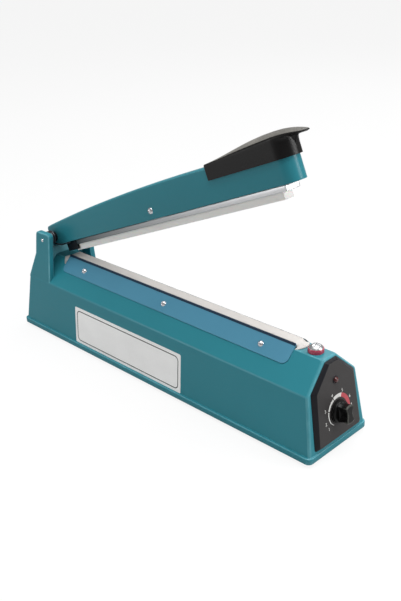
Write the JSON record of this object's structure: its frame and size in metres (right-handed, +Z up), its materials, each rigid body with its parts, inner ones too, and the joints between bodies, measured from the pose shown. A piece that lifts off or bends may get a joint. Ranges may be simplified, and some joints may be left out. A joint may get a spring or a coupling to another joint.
{
  "type": "hand impulse bag sealer",
  "caption": "Bench-top hand impulse sealer with a long sloped casing, a cloth-covered heated line, a sprung pressing arm with a beaked handle, a switch plunger and a timer knob.",
  "frame": {"origin": "centre of the bounding box's bottom face, on the floor under the rubber feet, with the arm open", "axes": "+X along the casing toward the control panel, +Y toward the far side as pictured, +Z up"},
  "size_m": [0.4244, 0.08, 0.269],
  "materials": {
    "teal_plastic": "gloss moulded",
    "black_plastic": "fine grain",
    "red_plastic": "gloss moulded",
    "bright_metal": "bright plated",
    "sheet_steel": "zinc plated",
    "core_steel": "laminated, varnished",
    "aluminium": "extruded, matte",
    "black_rubber": "matte",
    "silicone": "matte, off white",
    "cloth": "coated glass weave",
    "blue_paint": "satin paint",
    "nylon": "natural",
    "winding": "enamelled wire under tape",
    "board": "satin",
    "insulation": "heat-resisting laminate",
    "lead_sleeve": "silicone sleeve"
  },
  "bodies": {
    "base": {"casing": "teal_plastic", "base_plate": "sheet_steel", "base_screws": "sheet_steel", "rubber_feet": "black_rubber", "cord_grommet": "black_rubber", "control_panel": "black_plastic", "led_lamp": "red_plastic", "potentiometer": "sheet_steel", "potentiometer_nut": "sheet_steel", "timer_board": "board", "board_components": "black_plastic", "transformer_core": "core_steel", "transformer_bobbin": "nylon", "transformer_winding": "winding", "transformer_strap": "sheet_steel", "transformer_screws": "sheet_steel", "microswitch": "black_plastic", "microswitch_screws": "sheet_steel", "seal_bar": "aluminium", "seal_bar_screws": "sheet_steel", "insulation_strip": "insulation", "heating_element": "sheet_steel", "element_terminals": "insulation", "terminal_screws": "sheet_steel", "ptfe_cloth": "cloth", "front_clamp_plate": "blue_paint", "rear_clamp_plate": "blue_paint", "clamp_screws": "bright_metal", "hinge_pin": "bright_metal", "spring_bushes": "nylon", "return_springs": "sheet_steel", "heater_leads": "lead_sleeve"},
    "arm_body": {"arm": "teal_plastic", "handle": "black_plastic", "handle_screws": "sheet_steel", "bar_pivot_screw": "bright_metal", "bar_pivot_nut": "sheet_steel"},
    "bar_body": {"press_bar": "aluminium", "pivot_bracket": "sheet_steel", "bracket_rivets": "aluminium", "silicone_strip": "silicone", "bar_end_cap": "black_plastic"},
    "button_body": {"switch_plunger": "red_plastic", "plunger_screw": "bright_metal", "microswitch_button": "red_plastic"},
    "knob_body": {"timer_knob": "black_plastic", "potentiometer_shaft": "sheet_steel"}
  },
  "joints": [
    {"name": "arm_hinge", "type": "hinge", "parent": "base", "child": "arm_body", "pos_m": [-0.17168, 0, 0.1075], "axis": [0, 1, 0], "range_deg": [0, 20.72], "stiffness_Nm_per_rad": 1.2, "springref_deg": -57.3, "deforming": ["return_springs"]},
    {"name": "bar_rock", "type": "hinge", "parent": "arm_body", "child": "bar_body", "pos_m": [-0.00973, 0, 0.17087], "axis": [0, 1, 0], "range_deg": [0, 1.1]},
    {"name": "switch_press", "type": "slide", "parent": "base", "child": "button_body", "axis": [0, 0, -1], "range_m": [0, 0.003], "stiffness_N_per_m": 150, "springref_m": -0.004},
    {"name": "timer_turn", "type": "hinge", "parent": "base", "child": "knob_body", "pos_m": [0.19291, 0, 0.03651], "axis": [0.9914, 0, 0.1305], "range_deg": [-138, 138]}
  ],
  "couplings": [
    {"joint": "bar_rock", "follows": "arm_hinge", "ratio": 0.05212},
    {"joint": "switch_press", "follows": "arm_hinge", "m_per_rad": 0.00829}
  ]
}
